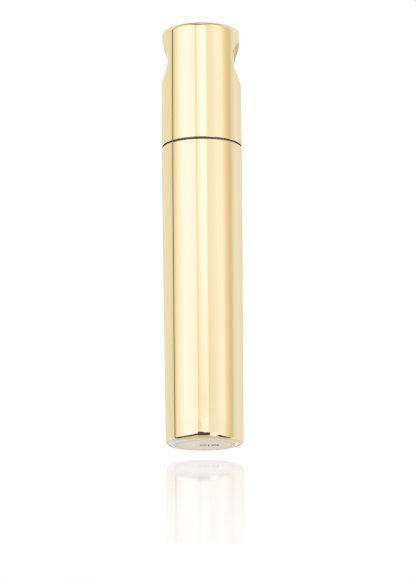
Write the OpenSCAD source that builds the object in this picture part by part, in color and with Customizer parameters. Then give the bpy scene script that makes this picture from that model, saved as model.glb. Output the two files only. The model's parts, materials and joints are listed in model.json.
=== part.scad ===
// Slim twist-up lipstick case: a long base, a turning collar and a short pull-off cap.
// The closed case stands on its foot, with the origin at the centre of the foot.

/* [Case] */
// Height of the closed case
case_h = 74; // [74:0.5:80]
// Radius of the case at the seam between base and cap
case_r = 7.0; // [7:0.05:7.3]
// Height of the seam above the foot
seam_z = 52.9; // [52.4:0.1:53.4]
// Open groove between the base rim and the cap rim
seam_gap = 0.3; // [0.1:0.05:0.4]
// Bevel on the base rim and on the cap rim
rim_bevel = 0.12; // [0.05:0.01:0.2]
// Wall of the drawn shells
shell_wall = 0.5; // [0.4:0.05:0.55]

/* [Foot] */
// Radius of the case just above its rounded foot
foot_r = 6.7; // [6.65:0.05:6.8]
// Radius of the rounding round the foot
foot_round = 0.95; // [0.6:0.05:1.1]
// Height at which the base starts to narrow towards the foot
taper_z = 50; // [40:1:51]
// Radius of the stamped disc let into the foot
disc_r = 5.3; // [4.8:0.1:5.4]
// Thickness of the stamped disc
disc_t = 0.4; // [0.3:0.05:0.6]

/* [Cap] */
// Width of the head of the cap between its two flat sides, above the finger notches
head_w = 13.46; // [13.3:0.02:13.8]
// Rounding of the top edge of the cap
head_round = 1.0; // [0.6:0.1:1.2]

/* [Finger notches] */
// Height of the middle of the notches
notch_z = 68.05; // [67.85:0.05:68.2]
// Depth of each notch
notch_depth = 1.35; // [1:0.05:1.4]
// Half of the height of each notch
notch_half = 4.1; // [3.8:0.05:4.2]

/* [Mechanism] */
// Height that the lipstick rises
travel = 16; // [10:0.5:16]
// Turns of the collar for the full rise
turns = 1.25; // [1:0.05:1.5]
// Height of the collar rim above the seam
collar_rise = 7.0; // [6.5:0.1:7]
// Outer radius of the collar
collar_r = 5.95; // [5.9:0.01:5.96]
// Radius of the lipstick
bullet_r = 3.88; // [3.6:0.01:3.88]
// Height of the tip of the lipstick when it is wound down
tip_z = 56.2; // [54:0.1:56.4]

/* [Hidden] */
$fn = 96;
EPS = 0.01;

// Stack of heights in the base, from the foot up
floor_z = 1.2;                     // top of the base shell's floor
weight_top = 17.2;                 // top of the weight
liner_floor = 18.7;                // floor of the bore in the liner
foot_flange_z = 20.7;              // top of the flange of the guide foot
foot_top = 24.7;                   // top of the spigot of the guide foot
liner_top = 31.5;                  // top of the liner, under the washer
washer_top = 32.0;                 // top of the washer, under the collar
bush_z = 38;                       // step in the bore that the bush rests on
base_top = seam_z - seam_gap / 2;  // rim of the base shell
cap_bottom = seam_z + seam_gap / 2;
collar_top = seam_z + collar_rise;

// Radii, from the lipstick outwards
cup_r = 4.28;
tube_bore = 4.35;
tube_r = 4.80;
cam_bore = 4.85;
groove_r = 5.30;                   // bottom of the helical grooves
cam_r = 5.60;
sleeve_bore = 6.02;                // running bore of bush and cap liner
base_bore = 6.20;
bush_r = 6.40;
cap_bore = case_r - shell_wall;

// Carrier, wound down
cup_z = 32.5;
cup_h = 10;
cup_floor = 1.2;
cup_wall = 0.36;
pin_z = cup_z + 2.4;
pin_r = 0.6;
pin_tip = 5.15;                    // reach of the pins into the grooves
run_gap = 0.2;                     // end clearance of slots and grooves
lead = travel / turns;             // rise in one turn

// Top of the collar: the lip, and the stop ring and brake ring below it
lip_t = 0.4;
tube_top = collar_top - lip_t - 0.2;
stop_ring_z = collar_top - 1.35;   // underside of the stop ring
stop_ring_t = 0.5;
stop_ring_w = 0.5;                 // how far the stop ring stands out from the guide tube
brake_z = collar_top - 4.8;        // middle of the brake ring
brake_wire = 0.28;                 // radius of the brake ring's section

// Spring clip in the cap liner
clip_z = seam_z + 4.7;             // middle of the clip
clip_t = 0.36;
clip_w = 0.5;
clip_groove_w = 0.6;

// Cap: depth of the flat sides of its head, and the pieces above the liner
side_depth = case_r - head_w / 2;
notch_clear = 0.3;                 // from the notches' lower end to the core and to the liner
cap_weight_t = 0.75;

// Radius of the base at height z: straight above taper_z, and narrowing evenly towards the foot below it
function base_radius(z) =
    z >= taper_z ? case_r : case_r - (case_r - foot_r) * pow((taper_z - z) / (taper_z - foot_round), 1.25);

// A ring between two radii and two heights
module ring(r_in, r_out, z0, z1) {
    rotate_extrude() translate([r_in, z0]) square([r_out - r_in, z1 - z0]);
}

// Depth of a notch at a height from its middle: one wave of a cosine, filled out towards its ends
function notch_curve(y) = notch_depth * pow((1 + cos(180 * y / notch_half)) / 2, 0.65);

// Side view of a notch: x is the depth into the case, y the height from its middle.
// The lowest flat runs straight out through the surface, and the top of the notch passes into the flat
// side of the head. grow sets it all deeper by that much.
module notch_section(grow = 0) {
    flats = 8;
    step = notch_half / flats;
    inner = [for (i = [1 - flats:flats - 1])
        [max(notch_curve(i * step), i > 0 ? side_depth : 0) + grow, i * step]];
    lip = inner[0];
    run = step / (inner[1][0] - lip[0]);
    out = 2;
    above = case_h - notch_z + 1;
    polygon(concat([[lip[0] - out, lip[1] - out * run]], inner,
                   [[side_depth + grow, above], [lip[0] - out, above]]));
}

// Both finger notches as solids, on the left and on the right of the case, with the flats above them
module notches(grow = 0) {
    for (side = [0, 1]) mirror([side, 0, 0])
        translate([case_r, 0, notch_z]) rotate([90, 0, 0]) linear_extrude(height = 3 * case_r, center = true)
            mirror([1, 0]) notch_section(grow);
}

// Solid outline of the cap, set in by inset on the sides and on the top
module cap_outline(inset, bottom, bevel, round_r) {
    side = case_r - inset;
    top = case_h - inset;
    rotate_extrude() {
        polygon([[0, bottom], [side - bevel, bottom], [side, bottom + bevel], [side, top - round_r],
                 [side - round_r, top - round_r], [side - round_r, top], [0, top]]);
        translate([side - round_r, top - round_r]) circle(r = round_r);
    }
}

// Space inside the cap shell, which the notches bulge into
module cap_cavity(bottom) {
    difference() {
        cap_outline(shell_wall, bottom, 0, max(0.1, head_round - shell_wall));
        notches(shell_wall);
    }
}

module base_shell() color("gold") {
    steps = 7;
    difference() {
        rotate_extrude() {
            polygon(concat(
                [[0, 0], [foot_r - foot_round, 0], [foot_r - foot_round, foot_round]],
                [for (i = [0:steps]) let(z = foot_round + (taper_z - foot_round) * i / steps)
                    [base_radius(z), z]],
                [[case_r, base_top - rim_bevel], [case_r - rim_bevel, base_top], [0, base_top]]));
            translate([foot_r - foot_round, foot_round]) circle(r = foot_round);
        }
        translate([0, 0, floor_z]) cylinder(r = base_bore, h = base_top);
        translate([0, 0, bush_z]) cylinder(r = bush_r, h = base_top);
        translate([0, 0, -EPS]) cylinder(r = disc_r, h = disc_t + EPS);
    }
}

// Stamped disc, flush with the foot, with three small sunk marks: a ring, a bar and a frame
module base_disc() color("tan") {
    mark_depth = 0.08;
    line_w = 0.26;
    mark_h = 1.5;
    mark_y = 0.3;
    ring_x = -0.3;
    ring_r = 0.6;
    bar_x = 0.65;
    frame_x = 1.85;
    frame_w = 1.15;
    difference() {
        cylinder(r = disc_r, h = disc_t);
        translate([ring_x, mark_y, 0]) ring(ring_r - line_w, ring_r, -EPS, mark_depth);
        translate([bar_x, mark_y, -EPS]) linear_extrude(height = mark_depth + EPS)
            square([line_w, mark_h], center = true);
        translate([frame_x, mark_y, -EPS]) linear_extrude(height = mark_depth + EPS) difference() {
            square([frame_w, mark_h], center = true);
            square([frame_w - 2 * line_w, mark_h - 2 * line_w], center = true);
        }
    }
}

// Steel slug with bevelled edges and a blind hole for the assembly tool
module base_weight() color("dimgray") {
    bevel = 0.4;
    weight_r = base_bore - 0.05;
    hole_r = 1.5;
    hole_depth = 10;
    difference() {
        rotate_extrude() polygon([[0, floor_z], [weight_r - bevel, floor_z], [weight_r, floor_z + bevel],
                                  [weight_r, weight_top - bevel], [weight_r - bevel, weight_top],
                                  [0, weight_top]]);
        translate([0, 0, weight_top - hole_depth]) cylinder(r = hole_r, h = hole_depth + EPS);
    }
}

// Ribbed plastic sleeve that fixes the guide tube in the base
module base_liner() color("ivory") {
    ribs = 8;
    rib_w = 0.5;
    skin = 0.4;
    difference() {
        ring(0, base_bore, weight_top, liner_top);
        translate([0, 0, liner_floor]) cylinder(r = tube_r, h = liner_top);
        difference() {
            ring(tube_r + skin, base_bore - skin, liner_floor, liner_top + EPS);
            for (i = [0:ribs - 1]) rotate([0, 0, 360 * i / ribs])
                translate([0, -rib_w / 2, 0]) cube([case_r, rib_w, liner_top + 1]);
        }
    }
}

// Dark sleeve that the cap's liner meets; its top edge shows in the seam
module base_bush() color("black") {
    lead_in = 0.15;
    rotate_extrude() polygon([[sleeve_bore, bush_z], [bush_r, bush_z], [bush_r, seam_z],
                              [sleeve_bore + lead_in, seam_z], [sleeve_bore, seam_z - lead_in]]);
}

// Plug that closes the guide tube and sits in the liner
module guide_foot() color("ivory") {
    bore = 2.6;
    plug_floor = 1;
    difference() {
        union() {
            ring(0, tube_r, liner_floor, foot_flange_z);
            ring(0, tube_bore, foot_flange_z, foot_top);
        }
        translate([0, 0, liner_floor + plug_floor]) cylinder(r = bore, h = foot_top);
    }
}

// Metal tube with two upright slots, which keep the carrier from turning
module guide_tube() color("silver") {
    slot_r = pin_r + 0.1;
    across = 3 * case_r;
    slot_low = pin_z - run_gap;
    slot_high = pin_z + travel + run_gap;
    difference() {
        ring(tube_bore, tube_r, foot_flange_z, tube_top);
        for (z = [slot_low, slot_high]) translate([0, 0, z]) rotate([90, 0, 0])
            cylinder(r = slot_r, h = across, center = true);
        translate([-slot_r, -case_r, slot_low]) cube([2 * slot_r, 2 * case_r, slot_high - slot_low]);
    }
}

// Snap ring on the guide tube, which keeps the cam from lifting off
module stop_ring() color("silver") {
    ring(tube_r, tube_r + stop_ring_w, stop_ring_z, stop_ring_z + stop_ring_t);
}

// Washer that the collar turns on
module slip_washer() color("white") {
    washer_r = collar_r - 0.05;
    ring(cam_bore, washer_r, liner_top, washer_top);
}

// Visible metal sleeve that the cap slides over
module collar_shell() color("gold") {
    round_r = 0.25;
    lip_bore = 4.4;
    difference() {
        rotate_extrude() {
            polygon([[0, washer_top], [collar_r, washer_top], [collar_r, collar_top - round_r],
                     [collar_r - round_r, collar_top - round_r], [collar_r - round_r, collar_top],
                     [0, collar_top]]);
            translate([collar_r - round_r, collar_top - round_r]) circle(r = round_r);
        }
        translate([0, 0, washer_top - EPS]) cylinder(r = cam_r, h = collar_top - lip_t - washer_top + EPS);
        cylinder(r = lip_bore, h = collar_top + EPS);
    }
}

// Plastic cam with two helical grooves, cut in short steps
module spiral_cam() color("white") {
    step_angle = 10;
    step_z = lead * step_angle / 360;
    band = pin_r + 0.15;                              // half the groove's width, square to it
    helix = atan(lead / (2 * PI * pin_tip));
    half_angle = band / sin(helix) / pin_tip * 180 / PI + step_angle / 2;
    end_gap = 0.05;
    low_z = pin_z - band - end_gap;
    steps = ceil((travel + 2 * band + 2 * end_gap) / step_z);
    reach = case_r + 2;                               // past the cam's outside, for the cutters
    cam_top = collar_top - lip_t - end_gap;
    counterbore_r = tube_r + stop_ring_w + 0.1;
    counterbore_z = stop_ring_z - 0.15;
    brake_half = brake_wire + 0.04;
    brake_groove_r = tube_r + 2 * brake_wire + 0.06;
    difference() {
        ring(cam_bore, cam_r, washer_top, cam_top);
        translate([0, 0, counterbore_z]) cylinder(r = counterbore_r, h = cam_top);
        ring(cam_bore - 1, brake_groove_r, brake_z - brake_half, brake_z + brake_half);
        intersection() {
            cylinder(r = groove_r, h = case_h);
            union() for (start = [90, 270], i = [0:steps - 1]) let(
                    z = low_z + i * step_z,
                    mid = start - (z + step_z / 2 - pin_z) / lead * 360)
                translate([0, 0, z]) rotate([0, 0, mid]) linear_extrude(height = step_z)
                    polygon([[0, 0], [reach * cos(half_angle), -reach * sin(half_angle)], [reach, 0],
                             [reach * cos(half_angle), reach * sin(half_angle)]]);
        }
    }
}

// Rubber ring between cam and guide tube, which gives the twist its drag
module brake_ring() color("black") {
    rotate_extrude() translate([tube_r + brake_wire + 0.04, brake_z]) circle(r = brake_wire, $fn = 32);
}

// Cup that holds the lipstick, with a cross hole for the pins
module carrier_cup() color("white") {
    difference() {
        ring(0, cup_r, cup_z, cup_z + cup_h);
        translate([0, 0, cup_z + cup_floor]) cylinder(r = cup_r - cup_wall, h = cup_h);
        translate([0, 0, pin_z]) rotate([90, 0, 0]) cylinder(r = pin_r, h = 3 * case_r, center = true);
    }
}

// Two steel pins that run through the slots into the grooves
module carrier_pins() color("silver") {
    for (turn = [0, 180]) rotate([0, 0, turn]) translate([0, pin_tip, pin_z]) rotate([90, 0, 0])
        cylinder(r = pin_r, h = pin_tip - cup_r + cup_wall);
}

// Stick of lipstick with a slanted tip, narrower where the cup holds it
module lipstick_bullet() color("crimson") {
    stub_r = bullet_r - 0.18;
    slant = 52;
    slant_x = -1.2;                // where the slanted face meets the height of the tip
    block = 20;
    difference() {
        union() {
            translate([0, 0, cup_z + cup_floor]) cylinder(r = stub_r, h = cup_h);
            translate([0, 0, cup_z + cup_h]) cylinder(r = bullet_r, h = tip_z - cup_z - cup_h);
        }
        translate([slant_x, 0, tip_z]) rotate([0, slant, 0]) translate([-block, -block, 0])
            cube([2 * block, 2 * block, block]);
    }
}

// Drawn cap with the two finger notches pressed in
module cap_shell() color("gold") {
    difference() {
        cap_outline(0, cap_bottom, rim_bevel, head_round);
        notches();
        cap_cavity(cap_bottom - 1);
    }
}

// Plastic core that backs the notches
module cap_core() color("ivory") {
    bore = 4.6;
    low = notch_z - notch_half + notch_clear;
    high = case_h - shell_wall - cap_weight_t - 0.05;
    intersection() {
        cap_cavity(cap_bottom - 1);
        ring(bore, case_r, low, high);
    }
}

// Steel disc under the top of the cap
module cap_weight() color("dimgray") {
    weight_r = min(head_w / 2 - shell_wall - 0.15, case_r - head_round - 0.05);
    translate([0, 0, case_h - shell_wall - cap_weight_t]) cylinder(r = weight_r, h = cap_weight_t);
}

// Plastic sleeve that grips the collar, with six grip ribs and a groove for the clip
module cap_liner() color("ivory") {
    low = seam_z + 0.05;
    high = notch_z - notch_half - notch_clear;
    rib_r = collar_r + 0.03;
    rib_w = 1;
    rib_end = 1.5;                 // from the ribs' ends to the liner's ends
    difference() {
        union() {
            ring(sleeve_bore, cap_bore, low, high);
            intersection() {
                ring(rib_r, sleeve_bore + 0.1, low + rib_end, high - rib_end);
                for (turn = [0:60:120]) rotate([0, 0, turn]) translate([-case_r, -rib_w / 2, 0])
                    cube([2 * case_r, rib_w, case_h]);
            }
        }
        ring(rib_r - 1, sleeve_bore + clip_t, clip_z - clip_groove_w / 2, clip_z + clip_groove_w / 2);
    }
}

// Open spring ring in the liner, which clicks on to the collar
module cap_clip() color("silver") {
    opening = 40;
    rotate([0, 0, opening / 2]) rotate_extrude(angle = 360 - opening)
        translate([collar_r + 0.05, clip_z - clip_w / 2]) square([clip_t, clip_w]);
}

base_shell();
base_disc();
base_weight();
base_liner();
base_bush();
guide_foot();
guide_tube();
stop_ring();
slip_washer();
collar_shell();
spiral_cam();
brake_ring();
carrier_cup();
carrier_pins();
lipstick_bullet();
cap_shell();
cap_core();
cap_weight();
cap_liner();
cap_clip();
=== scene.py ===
"""Looks of a slim lipstick case: polished gold shells, the twist-up inside and a plain white studio.

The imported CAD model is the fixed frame. The polished shells, the cam and the lipstick are rebuilt here as
smooth meshes, the other CAD nodes keep their shape, and every piece gets a procedural material. Lengths are
in metres.
"""

import json
import math

import bmesh
import bpy
from mathutils import Matrix, Vector


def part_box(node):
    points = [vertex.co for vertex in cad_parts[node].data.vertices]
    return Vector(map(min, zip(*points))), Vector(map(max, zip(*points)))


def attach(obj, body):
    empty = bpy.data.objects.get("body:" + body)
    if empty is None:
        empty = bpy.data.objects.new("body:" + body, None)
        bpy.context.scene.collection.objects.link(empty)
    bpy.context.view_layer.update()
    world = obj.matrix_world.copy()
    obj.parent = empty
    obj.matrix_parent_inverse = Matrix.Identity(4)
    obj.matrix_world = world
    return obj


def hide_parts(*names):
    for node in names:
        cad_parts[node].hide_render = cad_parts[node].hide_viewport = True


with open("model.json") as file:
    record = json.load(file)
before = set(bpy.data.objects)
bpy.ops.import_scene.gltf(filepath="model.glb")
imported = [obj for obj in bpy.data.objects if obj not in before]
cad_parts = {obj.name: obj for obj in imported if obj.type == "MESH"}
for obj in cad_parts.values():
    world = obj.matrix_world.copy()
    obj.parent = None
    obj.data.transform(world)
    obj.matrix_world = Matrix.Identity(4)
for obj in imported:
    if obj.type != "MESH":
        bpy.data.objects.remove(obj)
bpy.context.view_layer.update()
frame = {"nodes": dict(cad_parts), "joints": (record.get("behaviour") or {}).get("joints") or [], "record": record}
nodes = frame["nodes"]

MM = 0.001

# ---------------------------------------------------------------------------------------------------
# Sizes, read off the CAD nodes, with the few that a box can't give
# ---------------------------------------------------------------------------------------------------


def top_of(node):
    """Height of the highest point of a CAD node."""
    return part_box(node)[1].z


def bottom_of(node):
    """Height of the lowest point of a CAD node."""
    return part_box(node)[0].z


def radius_of(node):
    """Largest radius of a round CAD node that stands on the axis."""
    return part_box(node)[1].x


CASE_R = radius_of("base_shell")
CASE_H = top_of("cap_shell")
WALL = 0.5 * MM
RIM_BEVEL = 0.12 * MM
BASE_TOP = top_of("base_shell")
CAP_BOTTOM = bottom_of("cap_shell")

FOOT_R = 6.7 * MM  # radius just above the rounded foot
FOOT_EDGE_W = 1.32 * MM  # width and height of the foot's edge, a soft corner
FOOT_EDGE_H = 1.19 * MM
FOOT_EDGE_POWER = 3.0
TAPER_Z = 50 * MM  # the base narrows below this height
TAPER_POWER = 1.25
DISC_R = radius_of("base_disc")
DISC_T = top_of("base_disc")
BASE_FLOOR = bottom_of("base_weight")
BASE_BORE = radius_of("base_liner")
BUSH_Z = bottom_of("base_bush")
BUSH_R = radius_of("base_bush")

SIDE_DEPTH = 0.27 * MM  # depth of the flat sides of the cap's head
HEAD_ROUND = 1.0 * MM
NOTCH_Z = 68.05 * MM
NOTCH_HALF = 4.1 * MM
NOTCH_DEPTH = 1.35 * MM
NOTCH_POWER_LOW = 0.65  # below 1, it fills the lower half of the notch out towards its end
NOTCH_POWER_HIGH = 0.52  # the same for the upper half
NOTCH_BLEND = 0.10 * MM  # softness of the edge where a notch meets the round wall
SIDE_BLEND = 0.30 * MM  # softness of the change from a notch to the flat side above it
NOTCH_REACH = 0.3  # the notches stay on the sides, where the cosine of the angle is larger

COLLAR_R = radius_of("collar_shell")
COLLAR_BOTTOM = bottom_of("collar_shell")
COLLAR_TOP = top_of("collar_shell")
COLLAR_LIP_BORE = 4.4 * MM
COLLAR_LIP_T = 0.4 * MM
CAM_R = radius_of("spiral_cam")
CAM_BORE = 4.85 * MM
CLIP_Z = (top_of("cap_clip") + bottom_of("cap_clip")) / 2

BULLET_R = radius_of("lipstick_bullet")
BULLET_TOP = top_of("lipstick_bullet")
CUP_TOP = top_of("carrier_cup")
STUB_BOTTOM = bottom_of("lipstick_bullet")
STUB_R = 3.7 * MM

ROUND_STEPS = 288  # sides of the polished shells
GUARD = 0.03 * MM  # distance of the extra ring that keeps the shading flat beside a soft corner
SHARP_ANGLE = 40  # edges above this angle in degrees are shaded sharp
MERGE_DISTANCE = 1e-7


# ---------------------------------------------------------------------------------------------------
# Mesh helpers
# ---------------------------------------------------------------------------------------------------


def arc(cx, cz, radius, start, end, steps):
    """Points of an arc in the (radius, height) plane, from start to end degrees."""
    turns = [math.radians(start + (end - start) * i / steps) for i in range(steps + 1)]
    return [(cx + radius * math.cos(t), cz + radius * math.sin(t)) for t in turns]


def line(a, b, steps):
    """Points from a to b, both included."""
    return [(a[0] + (b[0] - a[0]) * i / steps, a[1] + (b[1] - a[1]) * i / steps) for i in range(steps + 1)]


def new_object(name, verts, faces, sharp=SHARP_ANGLE):
    """A smooth-shaded mesh object with sharp edges above an angle in degrees."""
    mesh = bpy.data.meshes.new(name)
    mesh.from_pydata(verts, [], faces)
    build = bmesh.new()
    build.from_mesh(mesh)
    bmesh.ops.remove_doubles(build, verts=build.verts, dist=MERGE_DISTANCE)
    bmesh.ops.recalc_face_normals(build, faces=build.faces)
    build.to_mesh(mesh)
    build.free()
    mesh.shade_smooth()
    mesh.set_sharp_from_angle(angle=math.radians(sharp))
    obj = bpy.data.objects.new(name, mesh)
    bpy.context.scene.collection.objects.link(obj)
    return obj


def revolve(name, profile, steps=ROUND_STEPS, closed=False, shape=None):
    """Turns a profile of (radius, height) points round the Z axis.

    An end point at radius 0 becomes a pole. A closed profile joins its last point to its first.
    shape(radius, height, angle) may change a point's radius round the turn.
    """
    verts, rings = [], []
    for radius, height in profile:
        if radius < MERGE_DISTANCE:
            rings.append([len(verts)])
            verts.append((0, 0, height))
            continue
        ring = []
        for i in range(steps):
            angle = 2 * math.pi * i / steps
            r = shape(radius, height, angle) if shape else radius
            ring.append(len(verts))
            verts.append((r * math.cos(angle), r * math.sin(angle), height))
        rings.append(ring)
    faces = []
    pairs = list(zip(rings, rings[1:])) + ([(rings[-1], rings[0])] if closed else [])
    for low, high in pairs:
        for i in range(steps):
            j = (i + 1) % steps
            if len(low) == 1 and len(high) == 1:
                continue
            if len(low) == 1:
                faces.append((low[0], high[j], high[i]))
            elif len(high) == 1:
                faces.append((low[i], low[j], high[0]))
            else:
                faces.append((low[i], low[j], high[j], high[i]))
    return new_object(name, verts, faces)


def soft_min(a, b, blend):
    """The smaller of a and b, rounded where they cross."""
    if blend <= 0 or abs(a - b) >= blend:
        return min(a, b)
    share = 0.5 + 0.5 * (b - a) / blend
    return b + (a - b) * share - blend * share * (1 - share)


def smooth(value, low, high):
    """0 below low, 1 above high, and a smooth step between."""
    t = min(1.0, max(0.0, (value - low) / (high - low)))
    return t * t * (3 - 2 * t)


# ---------------------------------------------------------------------------------------------------
# Material helpers
# ---------------------------------------------------------------------------------------------------


class Graph:
    """A short way to write shader nodes: every call adds a node and returns its output."""

    def __init__(self, tree):
        self.tree = tree
        tree.nodes.clear()

    def node(self, kind, **settings):
        """Adds a node and sets its properties."""
        made = self.tree.nodes.new(kind)
        for key, value in settings.items():
            setattr(made, key, value)
        return made

    def put(self, socket, value):
        """Links an output to a socket, or sets the socket to a constant."""
        if isinstance(value, bpy.types.NodeSocket):
            self.tree.links.new(value, socket)
        elif value is not None:
            socket.default_value = value

    def math(self, operation, a, b=None, c=None):
        """A Math node."""
        made = self.node("ShaderNodeMath", operation=operation)
        for socket, value in zip(made.inputs, (a, b, c)):
            self.put(socket, value)
        return made.outputs[0]

    def step(self, value, low, high, to_low=0.0, to_high=1.0):
        """A smooth step of a value from to_low to to_high."""
        made = self.node("ShaderNodeMapRange", interpolation_type="SMOOTHSTEP")
        for socket, item in zip(made.inputs, (value, low, high, to_low, to_high)):
            self.put(socket, item)
        return made.outputs[0]

    def mix(self, share, a, b, kind="MIX"):
        """A colour mix of a and b. Sockets 6 and 7 and output 2 of the Mix node are its colours."""
        made = self.node("ShaderNodeMix", data_type="RGBA", blend_type=kind)
        self.put(made.inputs["Factor"], share)
        self.put(made.inputs[6], a)
        self.put(made.inputs[7], b)
        return made.outputs[2]

    def ramp(self, value, stops):
        """A colour ramp through (position, colour) stops."""
        made = self.node("ShaderNodeValToRGB")
        elements = made.color_ramp.elements
        while len(elements) > 1:
            elements.remove(elements[-1])
        elements[0].position = stops[0][0]
        elements[0].color = (*stops[0][1], 1)
        for position, colour in stops[1:]:
            elements.new(position).color = (*colour, 1)
        self.put(made.inputs[0], value)
        return made.outputs[0]

    def place(self, scale=(1, 1, 1)):
        """The piece's own coordinates, stretched by scale."""
        coords = self.node("ShaderNodeTexCoord").outputs["Object"]
        made = self.node("ShaderNodeMapping")
        self.put(made.inputs["Vector"], coords)
        made.inputs["Scale"].default_value = scale
        return made.outputs[0]

    def noise(self, scale, detail=3.0, rough=0.5, stretch=(1, 1, 1)):
        """Noise in the piece's own coordinates, from 0 to 1."""
        made = self.node("ShaderNodeTexNoise")
        self.put(made.inputs["Vector"], self.place(stretch))
        made.inputs["Scale"].default_value = scale
        made.inputs["Detail"].default_value = detail
        made.inputs["Roughness"].default_value = rough
        return made.outputs["Fac"]

    def bump(self, height, strength, distance, normal=None):
        """A Bump node."""
        made = self.node("ShaderNodeBump")
        made.inputs["Strength"].default_value = strength
        made.inputs["Distance"].default_value = distance
        self.put(made.inputs["Height"], height)
        self.put(made.inputs["Normal"], normal)
        return made.outputs[0]


def surface(name, metallic=0.0, **constants):
    """A new material with a Principled shader. Returns the material, its graph and the shader's inputs."""
    material = bpy.data.materials.new(name)
    material.use_nodes = True
    graph = Graph(material.node_tree)
    shader = graph.node("ShaderNodeBsdfPrincipled")
    shader.inputs["Metallic"].default_value = metallic
    for key, value in constants.items():
        shader.inputs[key.replace("_", " ")].default_value = value
    output = graph.node("ShaderNodeOutputMaterial")
    graph.put(output.inputs["Surface"], shader.outputs[0])
    return material, graph, shader.inputs


def distance_from_axis(graph):
    """Distance of a point on the piece from the axis of the case."""
    split = graph.node("ShaderNodeSeparateXYZ")
    graph.put(split.inputs[0], graph.place())
    squares = [graph.math("POWER", split.outputs[axis], 2.0) for axis in "XY"]
    return graph.math("SQRT", graph.math("ADD", *squares))


def height_mask(graph, centre, half, soft):
    """1 within half of a height on the piece, fading out over soft."""
    split = graph.node("ShaderNodeSeparateXYZ")
    graph.put(split.inputs[0], graph.place())
    away = graph.math("ABSOLUTE", graph.math("SUBTRACT", split.outputs["Z"], centre))
    return graph.step(away, half, half + soft, 1.0, 0.0)


GOLD = (0.85, 0.73, 0.46)
RUBBED_GOLD = (0.80, 0.74, 0.62, 1)
# near-black painted shade for the inner rim faces at the seam, standing in for the shade in the gap between cap
# and base
SEAM_SHADE_COLOUR = (0.012, 0.008, 0.005, 1)
WORN_SOFT = 0.15 * MM  # how softly the wear at an edge fades out
SEAM_SHADE_HALF = 0.07 * MM  # half the height of the painted seam shade on a rim face
SEAM_SHADE_SOFT = 0.02 * MM


def polished_gold(name, worn_heights=(), seam_face=None):
    """Mirror-polished gold anodised aluminium, with hairlines round the turn and rubbed edges.

    seam_face is the height of a rim whose inner face is painted near-black, a painted shade that makes the seam
    between the shells show dark.
    """
    material, graph, inputs = surface(name, metallic=1.0)
    clouds = graph.noise(90, detail=2)
    tint = graph.mix(clouds, (*[c * 0.985 for c in GOLD], 1), (*[min(1, c * 1.01) for c in GOLD], 1))
    worn = 0.0
    for centre, half in worn_heights:
        worn = graph.math("MAXIMUM", worn, height_mask(graph, centre, half, WORN_SOFT))
    specks = graph.step(graph.noise(2600, detail=4, rough=0.7), 0.60, 0.72)
    rubbed = graph.math("MULTIPLY", specks, worn)
    colour = graph.mix(rubbed, tint, RUBBED_GOLD)
    smears = graph.step(graph.noise(240, detail=5, rough=0.65), 0.52, 0.78)
    rough = graph.math("MULTIPLY_ADD", smears, 0.018, 0.028)
    rough = graph.math("MULTIPLY_ADD", rubbed, 0.16, rough)
    # painted shade: the inner part of the rim face at the seam turns near-black, so the gap between the shells
    # shows dark
    if seam_face is not None:
        face_r = CASE_R - 0.5 * RIM_BEVEL
        inner = graph.step(distance_from_axis(graph), face_r - SEAM_SHADE_SOFT, face_r, 1.0, 0.0)
        face = height_mask(graph, seam_face, SEAM_SHADE_HALF, SEAM_SHADE_SOFT)
        seam_shade = graph.math("MULTIPLY", inner, face)
        colour = graph.mix(seam_shade, colour, SEAM_SHADE_COLOUR)
        rough = graph.math("MULTIPLY_ADD", seam_shade, 0.4, rough)
    graph.put(inputs["Base Color"], colour)
    graph.put(inputs["Roughness"], rough)
    hairlines = graph.noise(900, detail=4, rough=0.6, stretch=(0.25, 0.25, 6))
    graph.put(inputs["Normal"], graph.bump(hairlines, 0.02, 0.02 * MM))
    return material


def satin_disc():
    """Paler, pinker stamped disc with fine turned rings, a painted shade darkening its edge where the foot's rim
    shades the recess, and darker sunk marks.
    """
    material, graph, inputs = surface("stamped_disc", metallic=1.0)
    ring_pitch = 0.06 * MM
    edge_shade_start, edge_shade_end = DISC_R - 1.1 * MM, DISC_R - 0.3 * MM
    sunk_start, sunk_end = 0.03 * MM, 0.06 * MM
    split = graph.node("ShaderNodeSeparateXYZ")
    graph.put(split.inputs[0], graph.place())
    from_axis = distance_from_axis(graph)
    rings = graph.math("SINE", graph.math("MULTIPLY", from_axis, 2 * math.pi / ring_pitch))
    sunk = graph.step(split.outputs["Z"], sunk_start, sunk_end)
    clouds = graph.noise(700, detail=4)
    face = graph.mix(clouds, (0.78, 0.64, 0.43, 1), (0.83, 0.70, 0.49, 1))
    # painted shade: the disc darkens towards its edge, where the foot's rim around the recess shades it
    edge = graph.step(from_axis, edge_shade_start, edge_shade_end)
    face = graph.mix(edge, face, (0.65, 0.51, 0.32, 1))
    graph.put(inputs["Base Color"], graph.mix(sunk, face, (0.10, 0.07, 0.045, 1)))
    graph.put(inputs["Roughness"], graph.math("MULTIPLY_ADD", clouds, 0.08, 0.10))
    graph.put(inputs["Normal"], graph.bump(rings, 0.05, 0.004 * MM))
    return material


def turned_metal(name, colour, roughness):
    """Bright steel or aluminium with fine turning lines round the axis."""
    material, graph, inputs = surface(name, metallic=1.0)
    lines = graph.noise(700, detail=5, rough=0.65, stretch=(0.4, 0.4, 9))
    shade = [tuple(c * k for c in colour) + (1,) for k in (0.82, 1.05)]
    graph.put(inputs["Base Color"], graph.mix(lines, *shade))
    graph.put(inputs["Roughness"], graph.math("MULTIPLY_ADD", lines, 0.14, roughness))
    graph.put(inputs["Normal"], graph.bump(lines, 0.12, 0.02 * MM))
    return material


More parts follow.
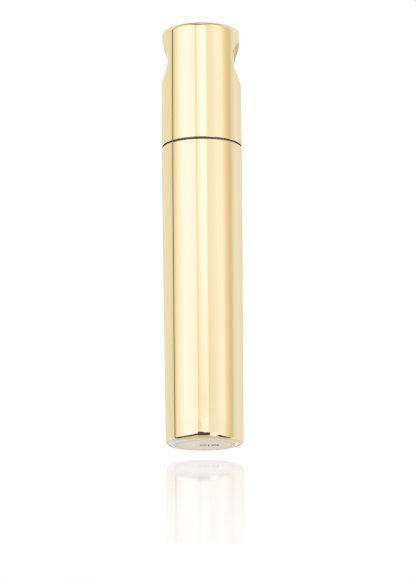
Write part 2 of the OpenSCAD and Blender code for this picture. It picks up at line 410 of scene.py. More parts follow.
def moulded_plastic(name, colour, roughness, grain=0.05, shine=0.45):
    """Moulded plastic with a fine spark-eroded grain and slight flow marks."""
    material, graph, inputs = surface(name, Specular_IOR_Level=shine)
    flow = graph.noise(160, detail=3, stretch=(1, 1, 0.3))
    fine = graph.noise(5200, detail=3, rough=0.6)
    shade = [tuple(min(1.0, c * k) for c in colour) + (1,) for k in (0.93, 1.04)]
    graph.put(inputs["Base Color"], graph.mix(flow, *shade))
    graph.put(inputs["Roughness"], graph.math("MULTIPLY_ADD", fine, 0.12, roughness))
    graph.put(inputs["Normal"], graph.bump(fine, grain, 0.02 * MM))
    return material


def silicone_rubber():
    """Dull black rubber."""
    material, graph, inputs = surface("black_rubber", Specular_IOR_Level=0.3)
    dust = graph.noise(3000, detail=4, rough=0.7)
    graph.put(inputs["Base Color"], graph.mix(dust, (0.010, 0.010, 0.011, 1), (0.035, 0.034, 0.033, 1)))
    graph.put(inputs["Roughness"], graph.math("MULTIPLY_ADD", dust, 0.15, 0.55))
    graph.put(inputs["Normal"], graph.bump(dust, 0.08, 0.01 * MM))
    return material


def lipstick_wax():
    """Satin red wax with faint mould streaks and a soft sheen."""
    material, graph, inputs = surface(
        "lipstick_wax", Specular_IOR_Level=0.5, Coat_Weight=0.25, Coat_Roughness=0.22,
        Subsurface_Weight=0.12, Subsurface_Scale=0.0006)
    streaks = graph.noise(420, detail=4, rough=0.55, stretch=(1, 1, 0.12))
    fine = graph.noise(2600, detail=3)
    graph.put(inputs["Base Color"], graph.mix(streaks, (0.36, 0.012, 0.030, 1), (0.46, 0.022, 0.045, 1)))
    graph.put(inputs["Roughness"], graph.math("MULTIPLY_ADD", streaks, 0.12, 0.28))
    soft = graph.bump(streaks, 0.10, 0.05 * MM)
    graph.put(inputs["Normal"], graph.bump(fine, 0.06, 0.01 * MM, soft))
    return material


MATERIALS = {
    "gold_base": polished_gold("gold_base", [(BASE_TOP, RIM_BEVEL), (0.25 * MM, 0.15 * MM)], BASE_TOP),
    "gold_cap": polished_gold("gold_cap", [(CAP_BOTTOM, RIM_BEVEL), (CASE_H, 0.12 * MM)], CAP_BOTTOM),
    "gold_collar": polished_gold("gold_collar", [(COLLAR_TOP, 0.15 * MM), (CLIP_Z, 0.4 * MM)]),
    "stamped_disc": satin_disc(),
    "weight_steel": turned_metal("weight_steel", (0.42, 0.42, 0.43), 0.26),
    "spring_steel": turned_metal("spring_steel", (0.62, 0.62, 0.63), 0.14),
    "drawn_aluminium": turned_metal("drawn_aluminium", (0.80, 0.80, 0.81), 0.20),
    "ivory_plastic": moulded_plastic("ivory_plastic", (0.78, 0.74, 0.64), 0.42),
    "white_plastic": moulded_plastic("white_plastic", (0.84, 0.84, 0.81), 0.26, 0.02),
    "black_plastic": moulded_plastic("black_plastic", (0.010, 0.008, 0.006), 0.5, shine=0.06),
    "black_rubber": silicone_rubber(),
    "lipstick_wax": lipstick_wax(),
}


def finish_piece(piece, material, body, slot, *stands_for):
    """Gives a new piece its material and its body, and hides the CAD nodes that it stands for. The slot argument
    is not used.
    """
    piece.data.materials.clear()
    piece.data.materials.append(MATERIALS[material])
    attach(piece, body)
    if stands_for:
        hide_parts(*stands_for)


# ---------------------------------------------------------------------------------------------------
# Camera: below the foot, looking up at the front of the case
# ---------------------------------------------------------------------------------------------------

CAMERA_TURN = 2.0  # angles in degrees: this one is to the right of the front
CAMERA_DISTANCE = 0.600  # from the axis of the case
CAMERA_HEIGHT = -0.1031  # below the foot
CAMERA_PITCH = 12.28  # upwards
CAMERA_PAN = 0.08  # to the right of the axis
CAMERA_ROLL = -0.56  # anticlockwise
CAMERA_LENS = 219.7  # millimetres


def build_camera():
    """Places the camera and makes it the scene's."""
    turn = math.radians(CAMERA_TURN)
    pan = math.radians(CAMERA_PAN) - turn
    pitch, roll = math.radians(CAMERA_PITCH), math.radians(CAMERA_ROLL)
    right = Vector((math.cos(pan), -math.sin(pan), 0))
    level = Vector((math.sin(pan), math.cos(pan), 0))
    ahead = level * math.cos(pitch) + Vector((0, 0, 1)) * math.sin(pitch)
    up = right.cross(ahead)
    tilted_right = right * math.cos(roll) + up * math.sin(roll)
    tilted_up = up * math.cos(roll) - right * math.sin(roll)
    matrix = Matrix((tilted_right, tilted_up, -ahead)).transposed().to_4x4()
    matrix.translation = (
        CAMERA_DISTANCE * math.sin(turn), -CAMERA_DISTANCE * math.cos(turn), CAMERA_HEIGHT)
    data = bpy.data.cameras.new("camera")
    data.lens = CAMERA_LENS
    data.clip_start = 0.01
    camera = bpy.data.objects.new("camera", data)
    camera.matrix_world = matrix
    bpy.context.scene.collection.objects.link(camera)
    bpy.context.scene.camera = camera


# ---------------------------------------------------------------------------------------------------
# Shells
# ---------------------------------------------------------------------------------------------------


def base_radius(z):
    """Radius of the base at a height: straight above TAPER_Z, narrowing evenly below it."""
    if z >= TAPER_Z:
        return CASE_R
    return CASE_R - (CASE_R - FOOT_R) * ((TAPER_Z - z) / (TAPER_Z - FOOT_EDGE_H)) ** TAPER_POWER


def foot_edge(steps=36):
    """Points of the soft corner between the flat foot and the wall."""
    points = []
    for i in range(1, steps + 1):
        turn = math.pi / 2 * (1 - i / steps)
        inward = 1 - math.cos(turn) ** (2 / FOOT_EDGE_POWER)
        upward = 1 - math.sin(turn) ** (2 / FOOT_EDGE_POWER)
        points.append((FOOT_R - FOOT_EDGE_W * inward, FOOT_EDGE_H * upward))
    return points


def rounded_rim(outer, inner, z, bevel, up):
    """Points across a shell's rim, from its outer wall to its bore.

    up is 1 for a top rim and -1 for a bottom one.
    """
    guard = 0.02 * MM
    inside_r = min(bevel, (outer - inner) / 3)
    outside = arc(outer - bevel, z - up * bevel, bevel, 0, up * 90, 8)
    inside = arc(inner + inside_r, z - up * inside_r, inside_r, up * 90, up * 180, 6)
    before = [(outer, z - up * (bevel + guard))]
    after = [(inner, z - up * (inside_r + guard))]
    return before + outside + inside + after


def base_shell():
    """Drawn base shell: closed foot with a recess for the disc, rounded foot edge, tapering wall and rim."""
    edge = 0.06 * MM
    wall_rings = 44
    profile = [(0, DISC_T), (DISC_R - GUARD, DISC_T), (DISC_R, DISC_T), (DISC_R, edge + GUARD)]
    profile += arc(DISC_R + edge, edge, edge, 180, 270, 4)
    profile += [(FOOT_R - FOOT_EDGE_W, 0)]
    profile += foot_edge()
    wall_top = BASE_TOP - RIM_BEVEL - 4 * GUARD
    for i in range(1, wall_rings + 1):
        z = FOOT_EDGE_H + (wall_top - FOOT_EDGE_H) * i / wall_rings
        profile.append((base_radius(z), z))
    profile += rounded_rim(CASE_R, BUSH_R, BASE_TOP, RIM_BEVEL, 1)
    profile += [(BUSH_R, BUSH_Z), (BASE_BORE, BUSH_Z), (BASE_BORE, BASE_FLOOR), (0, BASE_FLOOR)]
    return revolve("base_shell_polished", profile)


def notch_depth(z):
    """Depth of the finger notches at a height: one wave of a cosine, filled out towards its ends.

    The wave passes softly into the flat sides of the head.
    """
    from_middle = (z - NOTCH_Z) / NOTCH_HALF
    wave = 0.0
    if abs(from_middle) < 1:
        power = NOTCH_POWER_LOW if z < NOTCH_Z else NOTCH_POWER_HIGH
        wave = NOTCH_DEPTH * ((1 + math.cos(math.pi * from_middle)) / 2) ** power
    if z < NOTCH_Z:
        return wave
    return -soft_min(-wave, -SIDE_DEPTH, SIDE_BLEND)


def notched(inset):
    """How the notches pull in a wall that lies inset inside the outer one."""
    def shape(radius, z, angle):
        """Radius of the wall at a height and an angle."""
        depth = notch_depth(z)
        if depth <= 0 or abs(math.cos(angle)) < NOTCH_REACH:
            return radius
        flat = (CASE_R - inset - depth) / abs(math.cos(angle))
        return min(radius, soft_min(CASE_R - inset, flat, NOTCH_BLEND))
    return shape


def cap_shell():
    """Drawn cap shell with two pressed finger notches."""
    wall_rows, notch_rows, head_rows = 16, 96, 3
    shoulder = NOTCH_Z - NOTCH_HALF
    brow = NOTCH_Z + NOTCH_HALF
    top_start = CASE_H - HEAD_ROUND
    wall_low = CAP_BOTTOM + RIM_BEVEL + 0.02 * MM
    wall_span = shoulder - CAP_BOTTOM - 0.3 * MM
    heights = [wall_low + wall_span * i / wall_rows for i in range(1, wall_rows + 1)]
    heights += [shoulder + (brow - shoulder) * i / notch_rows for i in range(notch_rows + 1)]
    heights += [brow + (top_start - brow) * i / head_rows for i in range(1, head_rows)]
    heights += [top_start - GUARD]
    outer = [(CASE_R, z) for z in heights]
    outer += arc(CASE_R - HEAD_ROUND, top_start, HEAD_ROUND, 0, 90, 24)
    outer += [(CASE_R - HEAD_ROUND - GUARD, CASE_H), (CASE_R / 2, CASE_H), (0, CASE_H)]
    inner_top = CASE_H - WALL
    inner = [(CASE_R - WALL, z) for z in heights]
    inner += arc(CASE_R - HEAD_ROUND, top_start, HEAD_ROUND - WALL, 0, 90, 8)
    inner += [(CASE_R / 2, inner_top), (0, inner_top)]
    rim = rounded_rim(CASE_R, CASE_R - WALL, CAP_BOTTOM, RIM_BEVEL, -1)
    outside = revolve("cap_shell_polished", rim[::-1] + outer, shape=notched(0.0))
    inside = revolve("cap_inside", inner[::-1] + [rim[-1]], shape=notched(WALL))
    return join_closed(outside, inside)


def join_closed(main, other):
    """Joins other into main and merges the ring of points that they share."""
    build = bmesh.new()
    build.from_mesh(main.data)
    build.from_mesh(other.data)
    bmesh.ops.remove_doubles(build, verts=build.verts, dist=MERGE_DISTANCE)
    bmesh.ops.recalc_face_normals(build, faces=build.faces)
    build.to_mesh(main.data)
    build.free()
    main.data.shade_smooth()
    main.data.set_sharp_from_angle(angle=math.radians(SHARP_ANGLE))
    bpy.data.objects.remove(other)
    return main


def collar_shell():
    """Polished collar sleeve with a rolled top edge and a shallow groove for the clip."""
    foot, roll, lip = 0.10 * MM, 0.25 * MM, 0.12 * MM  # radii of its rounded edges
    groove_half, groove_deep, groove_steps = 0.32 * MM, 0.05 * MM, 12
    under = COLLAR_TOP - COLLAR_LIP_T
    wall_low = (COLLAR_R, COLLAR_BOTTOM + foot + GUARD)
    wall_high = (COLLAR_R, CLIP_Z - groove_half - GUARD)
    profile = [(CAM_R, COLLAR_BOTTOM), (COLLAR_R - foot, COLLAR_BOTTOM)]
    profile += arc(COLLAR_R - foot, COLLAR_BOTTOM + foot, foot, -90, 0, 5)
    profile += line(wall_low, wall_high, 10)
    for i in range(groove_steps + 1):
        share = -1 + 2 * i / groove_steps
        dip = groove_deep * (1 + math.cos(math.pi * share)) / 2
        profile.append((COLLAR_R - dip, CLIP_Z + share * groove_half))
    profile += [(COLLAR_R, CLIP_Z + groove_half + GUARD), (COLLAR_R, COLLAR_TOP - roll - GUARD)]
    profile += arc(COLLAR_R - roll, COLLAR_TOP - roll, roll, 0, 90, 12)
    profile += [(COLLAR_R - roll - GUARD, COLLAR_TOP), (COLLAR_LIP_BORE + lip + GUARD, COLLAR_TOP)]
    profile += arc(COLLAR_LIP_BORE + lip, COLLAR_TOP - lip, lip, 90, 180, 6)
    profile += [(COLLAR_LIP_BORE, under), (CAM_R, under)]
    return revolve("collar_shell_polished", profile, closed=True, steps=224)


# ---------------------------------------------------------------------------------------------------
# Inside pieces
# ---------------------------------------------------------------------------------------------------


def joint_named(name):
    """A joint of the CAD model."""
    return next(joint for joint in frame["joints"] if joint["name"] == name)


def spiral_cam():
    """Cam tube with two smooth helical grooves in its bore."""
    pin_z = (top_of("carrier_pins") + bottom_of("carrier_pins")) / 2
    rise = joint_named("carrier_rise")["range_m"][1]
    lead = rise / (joint_named("collar_swivel")["range_deg"][1] / 360)
    groove_r = 5.30 * MM
    band, edge_soft = 0.85 * MM, 0.08 * MM  # half the width of a groove, and how soft its edges are
    end_start, end_stop = 0.80 * MM, 0.95 * MM  # where a groove ends, past the middle of the pin
    bottom, top = bottom_of("spiral_cam"), top_of("spiral_cam")
    counterbore_z, counterbore_r = COLLAR_TOP - 1.5 * MM, 5.4 * MM
    ring_z, ring_r, ring_half = COLLAR_TOP - 4.8 * MM, 5.42 * MM, 0.32 * MM
    slope = math.cos(math.atan(lead / (2 * math.pi * groove_r)))

    def bore(radius, z, angle):
        """Cuts the grooves into the bore, and leaves the other walls round."""
        if radius > CAM_BORE + 0.1 * MM:
            return radius
        turned = pin_z + lead * (math.pi / 2 - angle) / (2 * math.pi)
        away = (z - turned + lead / 4) % (lead / 2) - lead / 4
        inside = smooth(band - abs(away) * slope, -edge_soft, edge_soft)
        ends = smooth(z, pin_z - end_stop, pin_z - end_start)
        ends *= 1 - smooth(z, pin_z + rise + end_start, pin_z + rise + end_stop)
        return radius + (groove_r - CAM_BORE) * inside * ends

    profile = [(CAM_R, bottom), (CAM_R, top), (counterbore_r, top), (counterbore_r, counterbore_z)]
    profile += [(CAM_BORE, counterbore_z), (CAM_BORE, ring_z + ring_half), (ring_r, ring_z + ring_half)]
    profile += [(ring_r, ring_z - ring_half)]
    low = line((CAM_BORE, ring_z - ring_half), (CAM_BORE, bottom), 130)
    return revolve("spiral_cam_moulded", profile + low, steps=180, closed=True, shape=bore)


def lipstick():
    """Stick of lipstick: a stub in the cup, a round body and a slanted, softly rounded tip."""
    steps, rows, top_rings = 128, 44, 40
    peak = BULLET_TOP - 0.05 * MM
    slant = math.radians(52)
    slant_x = -1.2 * MM
    shoulder, shoulder_power = 1.3 * MM, 2.6
    blend = 0.9 * MM
    ring_power = 0.75  # sets the rings of the tip closer together near its edge
    ledge = 0.15 * MM
    low = CUP_TOP + ledge
    angles = [2 * math.pi * i / steps for i in range(steps)]
    verts, rings = [], []

    def top(x, y):
        """Height of the tip over a point: a dome cut by the slanted face."""
        share = min(1.0, math.hypot(x, y) / BULLET_R)
        dome = peak - shoulder * (1 - math.sqrt(1 - share ** shoulder_power))
        face = peak - (x - slant_x) * math.tan(slant)
        return soft_min(dome, face, blend)

    def around(radius):
        """Places on a circle."""
        return [(radius * math.cos(a), radius * math.sin(a)) for a in angles]

    def add_ring(points):
        """Adds a ring of points."""
        rings.append(list(range(len(verts), len(verts) + len(points))))
        verts.extend(points)

    for radius, z in [(STUB_R, STUB_BOTTOM), (STUB_R, CUP_TOP), (BULLET_R - ledge, CUP_TOP)]:
        add_ring([(x, y, z) for x, y in around(radius)])
    for row in range(rows + 1):
        add_ring([(x, y, low + (top(x, y) - low) * row / rows) for x, y in around(BULLET_R)])
    for i in range(1, top_rings):
        radius = BULLET_R * (1 - i / top_rings) ** ring_power
        add_ring([(x, y, top(x, y)) for x, y in around(radius)])
    faces = []
    for below, above in zip(rings, rings[1:]):
        for i in range(steps):
            j = (i + 1) % steps
            faces.append((below[i], below[j], above[j], above[i]))
    verts.append((0, 0, top(0, 0)))
    tip = len(verts) - 1
    last = rings[-1]
    faces += [(last[i], last[(i + 1) % steps], tip) for i in range(steps)]
    faces.append(tuple(reversed(rings[0])))
    return new_object("lipstick_stick", verts, faces, sharp=50)


# ---------------------------------------------------------------------------------------------------
# Studio: white backdrop, light panels all round, a pale floor
# ---------------------------------------------------------------------------------------------------

WHITE = (1.0, 1.0, 1.0)
WORLD_GAIN = 2.0  # ramps hold half the brightness

# Brightness of the studio by direction, in degrees round from the camera, right side positive
SIDES = [
    (-175.5, WHITE), (-174.5, (0.88, 0.78, 0.60)), (-145, (0.98, 0.94, 0.87)),
    (-115, (0.98, 0.98, 0.92)), (-98.9, (0.92, 0.90, 0.80)),
    (-97.9, (0.17, 0.10, 0.02)), (-95.2, (0.17, 0.10, 0.02)), (-94.2, (0.84, 0.75, 0.58)),
    (-88, (1.03, 0.98, 0.90)), (-80, (1.12, 1.07, 1.03)), (-70, (1.24, 1.19, 1.30)),
    (-60, (1.35, 1.30, 1.55)), (-40, (1.38, 1.31, 1.58)), (-20, (1.32, 1.27, 1.55)),
    (-17, (1.07, 1.04, 1.01)), (-13.5, (1.07, 1.05, 1.03)), (-11.5, (1.25, 1.20, 1.25)),
    (-4, (1.40, 1.34, 1.58)), (9, (1.42, 1.36, 1.70)), (12.5, (1.35, 1.30, 1.55)),
    (14.5, (1.07, 1.06, 1.09)), (30, (1.11, 1.09, 1.11)), (50, (1.22, 1.20, 1.30)),
    (60, (1.19, 1.16, 1.20)), (69, (1.05, 0.97, 0.83)), (80, (0.90, 0.78, 0.59)),
    (90, (0.82, 0.73, 0.52)), (99, (0.92, 0.91, 0.83)), (115, (1.02, 1.03, 1.08)),
    (145, (0.95, 0.92, 0.83)), (174.5, (0.86, 0.77, 0.58)), (175.5, WHITE),
]

# Tint of the sides where they meet the ground
LOW_TINT = [
    (-180, WHITE), (-110, (0.97, 0.98, 1.0)), (-85, (1.0, 1.02, 1.08)), (-50, (0.99, 0.99, 0.97)),
    (-25, (0.98, 0.97, 0.92)), (-15, (0.96, 0.94, 0.86)), (-9, (0.97, 0.91, 0.83)), (7, (0.97, 0.90, 0.79)),
    (13, (0.93, 0.90, 0.82)), (20, (0.97, 0.95, 0.94)), (40, (0.99, 0.97, 0.96)), (55, (1.0, 1.0, 1.04)),
    (65, (1.02, 1.03, 1.10)), (80, (1.01, 1.02, 1.08)), (100, (0.99, 1.0, 1.03)), (180, WHITE),
]
TINT_GAIN = 1.2  # a ramp holds no colour above 1, so it is divided by this and multiplied again
SEAM_LIGHT = 13.2  # elevations that the seam and the foot reflect, in degrees
FOOT_LIGHT = 9.5
LOW_START = (9.25, 9.45)  # elevations over which the tint begins

LEAN = 1.1  # how much the edges on the left lean, in degrees of azimuth per degree of elevation
LEAN_LEVEL = 11.5  # elevation at which they stand where SIDES has them
LEAN_MIN, LEAN_MAX = -1.7, 6.0
LEAN_ZONE = (-128, -70, 8)  # a zone is from, to and softness, in degrees
LEAN_RIGHT = 1.3  # how far the middle panel's right edge moves to the right above SEAM_LIGHT
LEAN_RIGHT_RISE = 3.0  # elevations over which it does
LEAN_RIGHT_ZONE = (4, 32, 4)
FOOT_SHADE_ZONE = (8.6, 9.25, 0.1)  # elevations of a faint shade all round
FOOT_SHADE = 0.06  # share of DARK in it

CEILING_EDGE = 44.0  # elevation of the ceiling's dim edge in front, and how much higher it is at the sides
CEILING_RISE = 14.0
CEILING_TURN = (18, 52)  # azimuths over which it rises
CEILING_SOFT = 3.0
CEILING_EDGE_W = 26.0  # width of the dim edge, and of its fade into the light ceiling
CEILING_FADE = 6.0
CEILING_LIGHT = (1.0, 0.98, 0.86)
CEILING_DIM = [
    (-180, (0.55, 0.47, 0.30)), (-140, (0.51, 0.44, 0.28)), (-95, (0.72, 0.66, 0.55)),
    (-50, (0.72, 0.65, 0.52)), (-28, (0.48, 0.40, 0.20)), (-5, (0.50, 0.42, 0.22)),
    (12, (0.78, 0.64, 0.38)), (45, (0.88, 0.82, 0.65)), (65, (0.86, 0.80, 0.64)),
    (90, (0.62, 0.55, 0.43)), (125, (0.62, 0.56, 0.42)), (180, (0.55, 0.47, 0.30)),
]

TABLE = (0.78, 0.74, 0.67)
TABLE_EDGE = -28.0  # elevation of the table's dark edge at the sides, and how much higher it is in front
TABLE_RISE = 20.0
TABLE_TURN = (10, 58)  # azimuths over which it falls from the front to the sides
TABLE_SOFT = 2.0
TABLE_FALL = 14.0  # how much lower it is on the far right
TABLE_FALL_TURN = (45, 70)  # azimuths over which it falls there
DARK = (0.03, 0.02, 0.01)
DARK_EDGE_ZONE = (-12, 12, 3)  # elevations of the dark edge, from the table's edge down
DARK_LEFT_ZONE = (-104, -14, 3)  # azimuths where it is dark
DARK_RIGHT_ZONE = (42, 100, 3)

STAND = (0.09, 0.08, 0.065)
STAND_ZONE = (-20, 16, 2)  # azimuths
STAND_TOP_LEFT, STAND_TOP_RIGHT = 8.9, 7.8  # elevations of its top
STAND_TOP_TURN = (-8, 2)  # azimuths over which its top slopes
STAND_HEIGHT_ZONE = (-44, 0, 0.4)  # elevations from its top

BEHIND = (134, 148)  # azimuths over which the ground behind the case begins
BRIGHT_ZONE = (-11.4, -8.4, 0.4)  # elevations of its bright far edge
DULL_BEHIND = (160, 168)  # azimuths over which the dull strip above it begins
DULL_ZONE = (-8.4, 8.6, 0.5)  # elevations of that strip
DULL = (0.55, 0.50, 0.50)

# Patches: azimuths, elevations, softness of the edges, colour
PANEL_DIM = ((-14, 11), (9.38, 9.75), 0.15, (1.22, 1.05, 0.90))
PANEL_DIM_SHARE = 0.5  # the other patches cover fully
LAMP = ((17, 39), (-38, -6), 3.0, (1.3, 1.45, 2.0))
GROUND = ((140, 190), (-42, -11), 2.0, (0.84, 0.81, 0.82))  # on the left as well
GROUND_LEFT = ((-179.2, -140), (-42, -8.9), 0.3, (0.78, 0.88, 1.25))
NOTCH_WARM = ((162.5, 169), (8.7, 11.4), 0.6, (0.66, 0.54, 0.30))
NOTCH_SPOT = ((167, 168.9), (12.4, 13.3), 0.25, (0.18, 0.14, 0.08))
NOTCH_GREY = ((-174, -164), (11, 15), 0.8, (0.72, 0.70, 0.68))


def round_ramp(graph, azimuth, stops, gain=WORLD_GAIN):
    """A ramp over the azimuth in degrees, from -180 to 180, whose colours are divided by gain."""
    share = graph.math("MULTIPLY_ADD", azimuth, 1 / 360, 0.5)
    return graph.ramp(share, [((a + 180) / 360, tuple(c / gain for c in k)) for a, k in stops])


def between(graph, value, low, high, soft):
    """1 where a value lies between low and high, with soft edges."""
    rise = graph.step(value, low - soft, low + soft)
    fall = graph.step(value, high - soft, high + soft, 1.0, 0.0)
    return graph.math("MULTIPLY", rise, fall)


def paint(graph, share, under, colour):
    """Lays a colour over another one by a share."""
    return graph.mix(share, under, (*[c / WORLD_GAIN for c in colour], 1))


def paint_patch(graph, under, azimuth, elevation, patch, share=1.0):
    """Lays a patch over a colour."""
    across, upright, soft, colour = patch
    inside = graph.math(
        "MULTIPLY", between(graph, azimuth, *across, soft), between(graph, elevation, *upright, soft))
    return paint(graph, graph.math("MULTIPLY", inside, share), under, colour)


def lean_of_panels(graph, azimuth, elevation):
    """How far the panels' edges lean to the right, in degrees."""
    left = graph.math("MULTIPLY_ADD", elevation, LEAN, -LEAN * LEAN_LEVEL)
    left = graph.math("MAXIMUM", graph.math("MINIMUM", left, LEAN_MAX), LEAN_MIN)
    left = graph.math("MULTIPLY", left, between(graph, azimuth, *LEAN_ZONE))
    right = graph.step(elevation, SEAM_LIGHT, SEAM_LIGHT + LEAN_RIGHT_RISE, 0.0, LEAN_RIGHT)
    right = graph.math("MULTIPLY", right, between(graph, azimuth, *LEAN_RIGHT_ZONE))
    return graph.math("ADD", left, right)


def side_panels(graph, azimuth, elevation):
    """Light panels all round. Their edges lean a little, and they get warmer towards the ground."""
    leaning = graph.math("SUBTRACT", azimuth, lean_of_panels(graph, azimuth, elevation))
    colour = round_ramp(graph, leaning, SIDES)
    tint = round_ramp(graph, azimuth, LOW_TINT, TINT_GAIN)
    tint = graph.mix(1.0, tint, (TINT_GAIN, TINT_GAIN, TINT_GAIN, 1), "MULTIPLY")
    low = graph.step(elevation, FOOT_LIGHT, SEAM_LIGHT, 1.0, 0.0)
    low = graph.math("MULTIPLY", low, graph.step(elevation, *LOW_START))
    colour = graph.mix(low, colour, graph.mix(1.0, colour, tint, "MULTIPLY"))
    colour = paint_patch(graph, colour, azimuth, elevation, PANEL_DIM, PANEL_DIM_SHARE)
    shade = graph.math("MULTIPLY", between(graph, elevation, *FOOT_SHADE_ZONE), FOOT_SHADE)
    return paint(graph, shade, colour, DARK)


def ceiling(graph, colour, azimuth, away, elevation):
    """Light ceiling with a dim front edge."""
    edge = graph.step(away, *CEILING_TURN, CEILING_EDGE, CEILING_EDGE + CEILING_RISE)
    above = graph.math("SUBTRACT", elevation, edge)
    dim = round_ramp(graph, azimuth, CEILING_DIM)
    colour = graph.mix(graph.step(above, -CEILING_SOFT, CEILING_SOFT), colour, dim)
    light = graph.step(above, CEILING_EDGE_W, CEILING_EDGE_W + CEILING_FADE)
    return paint(graph, light, colour, CEILING_LIGHT)


def low_front(graph, colour, azimuth, away, elevation):
    """Table with a dark edge, a dark camera stand in the middle and a lamp beside it."""
    edge = graph.step(away, *TABLE_TURN, TABLE_EDGE + TABLE_RISE, TABLE_EDGE)
    edge = graph.math("SUBTRACT", edge, graph.step(azimuth, *TABLE_FALL_TURN, 0.0, TABLE_FALL))
    below = graph.math("SUBTRACT", edge, elevation)
    colour = paint(graph, graph.step(below, -TABLE_SOFT, TABLE_SOFT), colour, TABLE)
    left, right = [between(graph, azimuth, *zone) for zone in (DARK_LEFT_ZONE, DARK_RIGHT_ZONE)]
    dark = graph.math("MULTIPLY", between(graph, below, *DARK_EDGE_ZONE), graph.math("MAXIMUM", left, right))
    colour = paint(graph, dark, colour, DARK)
    colour = paint_patch(graph, colour, azimuth, elevation, LAMP)
    stand_top = graph.step(azimuth, *STAND_TOP_TURN, STAND_TOP_LEFT, STAND_TOP_RIGHT)
    under_top = graph.math("SUBTRACT", elevation, stand_top)
    stand = graph.math(
        "MULTIPLY", between(graph, azimuth, *STAND_ZONE), between(graph, under_top, *STAND_HEIGHT_ZONE))
    return paint(graph, stand, colour, STAND)


def low_back(graph, colour, azimuth, away, elevation):
    """Ground behind the case, which its foot mirrors, bluish on the left."""
    colour = paint_patch(graph, colour, away, elevation, GROUND)
    bright = graph.math("MULTIPLY", graph.step(away, *BEHIND), between(graph, elevation, *BRIGHT_ZONE))
    colour = paint(graph, bright, colour, WHITE)
    colour = paint_patch(graph, colour, azimuth, elevation, GROUND_LEFT)
    dull = graph.math("MULTIPLY", graph.step(away, *DULL_BEHIND), between(graph, elevation, *DULL_ZONE))
    return paint(graph, dull, colour, DULL)


def far_back(graph, colour, azimuth, elevation):
    """What the finger notches mirror: warm on the right with a dark spot, grey on the left."""
    for patch in (NOTCH_WARM, NOTCH_SPOT, NOTCH_GREY):
        colour = paint_patch(graph, colour, azimuth, elevation, patch)
    return colour


def build_world():
    """White for the camera, and the studio's panels for everything that lights or reflects."""
    world = bpy.data.worlds.new("studio")
    bpy.context.scene.world = world
    world.use_nodes = True
    graph = Graph(world.node_tree)
    direction = graph.node("ShaderNodeTexCoord").outputs["Generated"]
    turned = graph.node("ShaderNodeVectorRotate", rotation_type="Z_AXIS")
    graph.put(turned.inputs["Vector"], direction)
    turned.inputs["Angle"].default_value = math.radians(-CAMERA_TURN)
    split = graph.node("ShaderNodeSeparateXYZ")
    graph.put(split.inputs[0], turned.outputs[0])
    x, y, z = split.outputs
    to_degrees = 180 / math.pi
    front = graph.math("MULTIPLY", y, -1.0)
    azimuth = graph.math("MULTIPLY", graph.math("ARCTAN2", x, front), to_degrees)
    elevation = graph.math("MULTIPLY", graph.math("ARCSINE", z), to_degrees)
    away = graph.math("ABSOLUTE", azimuth)
    colour = side_panels(graph, azimuth, elevation)
    colour = ceiling(graph, colour, azimuth, away, elevation)
    colour = low_front(graph, colour, azimuth, away, elevation)
    colour = low_back(graph, colour, azimuth, away, elevation)
    colour = far_back(graph, colour, azimuth, elevation)
    studio = graph.node("ShaderNodeBackground")
    graph.put(studio.inputs["Color"], colour)
    studio.inputs["Strength"].default_value = WORLD_GAIN
    backdrop = graph.node("ShaderNodeBackground")
    backdrop.inputs["Color"].default_value = (1, 1, 1, 1)
    mixed = graph.node("ShaderNodeMixShader")
    graph.put(mixed.inputs[0], graph.node("ShaderNodeLightPath").outputs["Is Camera Ray"])
    graph.put(mixed.inputs[1], studio.outputs[0])
    graph.put(mixed.inputs[2], backdrop.outputs[0])
    graph.put(graph.node("ShaderNodeOutputWorld").inputs["Surface"], mixed.outputs[0])


def seen_only(obj):
    """Keeps a stage piece out of reflections and shadows, so that it only shows to the camera."""
    obj.visible_diffuse = False
    obj.visible_glossy = False
    obj.visible_transmission = False
    obj.visible_shadow = False


def flat_sheet(name, width, near, far):
    """A flat sheet in the XY plane."""
    verts = [(-width / 2, near, 0), (width / 2, near, 0), (width / 2, far, 0), (-width / 2, far, 0)]
    return new_object(name, verts, [(0, 1, 2, 3)])


def build_floor():
    """Pale floor that the case stands on, open from below, so that the low camera looks past it."""
    size = 1.6
    gap = 0.05 * MM
    floor = flat_sheet("floor", size, -size / 2, size / 2)
    floor.location.z = -gap
    material = bpy.data.materials.new("floor")
    material.use_nodes = True
    graph = Graph(material.node_tree)
    shader = graph.node("ShaderNodeBsdfPrincipled")
    shader.inputs["Base Color"].default_value = (0.90, 0.89, 0.88, 1)
    shader.inputs["Roughness"].default_value = 0.25
    shader.inputs["Specular IOR Level"].default_value = 0.3
    clear = graph.node("ShaderNodeBsdfTransparent")
    mixed = graph.node("ShaderNodeMixShader")
    graph.put(mixed.inputs[0], graph.node("ShaderNodeNewGeometry").outputs["Backfacing"])
    graph.put(mixed.inputs[1], shader.outputs[0])
    graph.put(mixed.inputs[2], clear.outputs[0])
    graph.put(graph.node("ShaderNodeOutputMaterial").inputs["Surface"], mixed.outputs[0])
    floor.data.materials.append(material)
    seen_only(floor)


MIRROR_DROP = 1.9 * MM  # depth below the foot on the axis of the case
MIRROR_SLOPE = 10.4  # degrees
MIRROR_WIDTH = 0.5
MIRROR_LENGTH = 0.42  # towards the camera
MIRROR_BACK = 9.5 * MM  # behind the axis, where it still stays below the floor
MIRROR_FADE = [  # share of its length, and how much it mirrors there
    (0.0, 0.45), (0.19, 0.42), (0.30, 0.33), (0.50, 0.28), (0.60, 0.24), (0.665, 0.19), (0.745, 0.145),
    (0.835, 0.10), (0.905, 0.075), (0.93, 0.0),
]


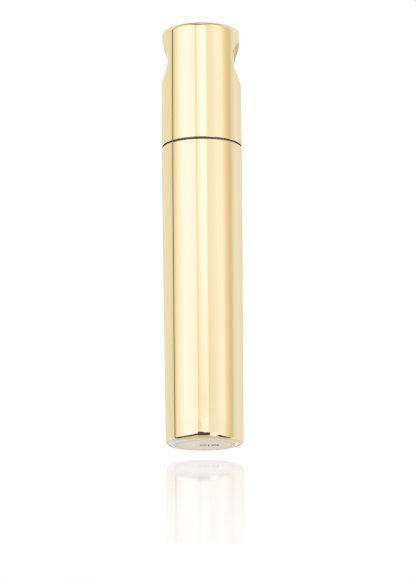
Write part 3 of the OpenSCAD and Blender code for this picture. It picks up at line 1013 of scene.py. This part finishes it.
def build_front_mirror():
    """Faint mirror that falls away in front of the foot and fades out towards the camera."""
    sheet = flat_sheet("front_mirror", MIRROR_WIDTH, -MIRROR_LENGTH, MIRROR_BACK)
    matrix = Matrix.Rotation(math.radians(CAMERA_TURN), 4, "Z")
    matrix @= Matrix.Rotation(math.radians(MIRROR_SLOPE), 4, "X")
    matrix.translation = (0, 0, -MIRROR_DROP)
    sheet.matrix_world = matrix
    material = bpy.data.materials.new("front_mirror")
    material.use_nodes = True
    graph = Graph(material.node_tree)
    split = graph.node("ShaderNodeSeparateXYZ")
    graph.put(split.inputs[0], graph.place())
    share = graph.ramp(
        graph.math("DIVIDE", split.outputs["Y"], -MIRROR_LENGTH),
        [(at, (k, k, k)) for at, k in MIRROR_FADE])
    above = graph.math("SUBTRACT", 1.0, graph.node("ShaderNodeNewGeometry").outputs["Backfacing"])
    gloss = graph.node("ShaderNodeBsdfGlossy")
    gloss.inputs["Color"].default_value = (1, 1, 1, 1)
    gloss.inputs["Roughness"].default_value = 0.03
    clear = graph.node("ShaderNodeBsdfTransparent")
    mixed = graph.node("ShaderNodeMixShader")
    graph.put(mixed.inputs[0], graph.math("MULTIPLY", share, above))
    graph.put(mixed.inputs[1], clear.outputs[0])
    graph.put(mixed.inputs[2], gloss.outputs[0])
    graph.put(graph.node("ShaderNodeOutputMaterial").inputs["Surface"], mixed.outputs[0])
    sheet.data.materials.append(material)
    seen_only(sheet)


# ---------------------------------------------------------------------------------------------------
# Assembly
# ---------------------------------------------------------------------------------------------------

build_camera()
build_world()
build_floor()
build_front_mirror()
bpy.context.scene.view_settings.view_transform = "Standard"

finish_piece(base_shell(), "gold_base", "base", "gold_shell", "base_shell")
finish_piece(cap_shell(), "gold_cap", "cap", "gold_shell", "cap_shell")
finish_piece(collar_shell(), "gold_collar", "collar", "gold_shell", "collar_shell")
finish_piece(spiral_cam(), "white_plastic", "collar", "white_plastic", "spiral_cam")
finish_piece(lipstick(), "lipstick_wax", "carrier", "lipstick_wax", "lipstick_bullet")

for node, slot in [(s["node"], s["material_slot"]) for s in frame["record"]["subparts"]]:
    if slot in MATERIALS:
        nodes[node].data.materials.clear()
        nodes[node].data.materials.append(MATERIALS[slot])
